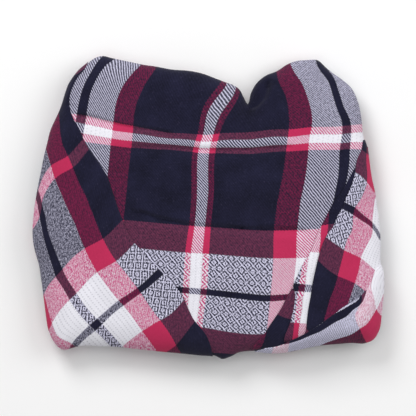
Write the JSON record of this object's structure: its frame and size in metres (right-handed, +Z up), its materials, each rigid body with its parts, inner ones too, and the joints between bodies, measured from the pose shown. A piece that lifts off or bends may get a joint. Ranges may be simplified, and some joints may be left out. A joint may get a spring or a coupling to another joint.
{
  "type": "folded plaid scarf",
  "caption": "Soft twill plaid scarf folded into a flat, rounded bundle, its ends wrapped diagonally over a centre panel with a tucked upper edge.",
  "frame": {"origin": "on the surface that the bundle lies on, under the centre of its box", "axes": "+Z up from the surface, +Y towards the tucked upper edge, +X towards the right wrap"},
  "size_m": [0.3538, 0.3032, 0.046],
  "materials": {
    "plaid_cloth": "brushed twill in navy, crimson and white plaid, matt with a short nap"
  },
  "bodies": {
    "root": {"folded_core": "plaid_cloth", "centre_panel": "plaid_cloth", "left_wrap": "plaid_cloth", "right_wrap": "plaid_cloth", "inner_right_layer": "plaid_cloth", "corner_tail": "plaid_cloth", "lower_right_fold": "plaid_cloth"}
  },
  "joints": []
}
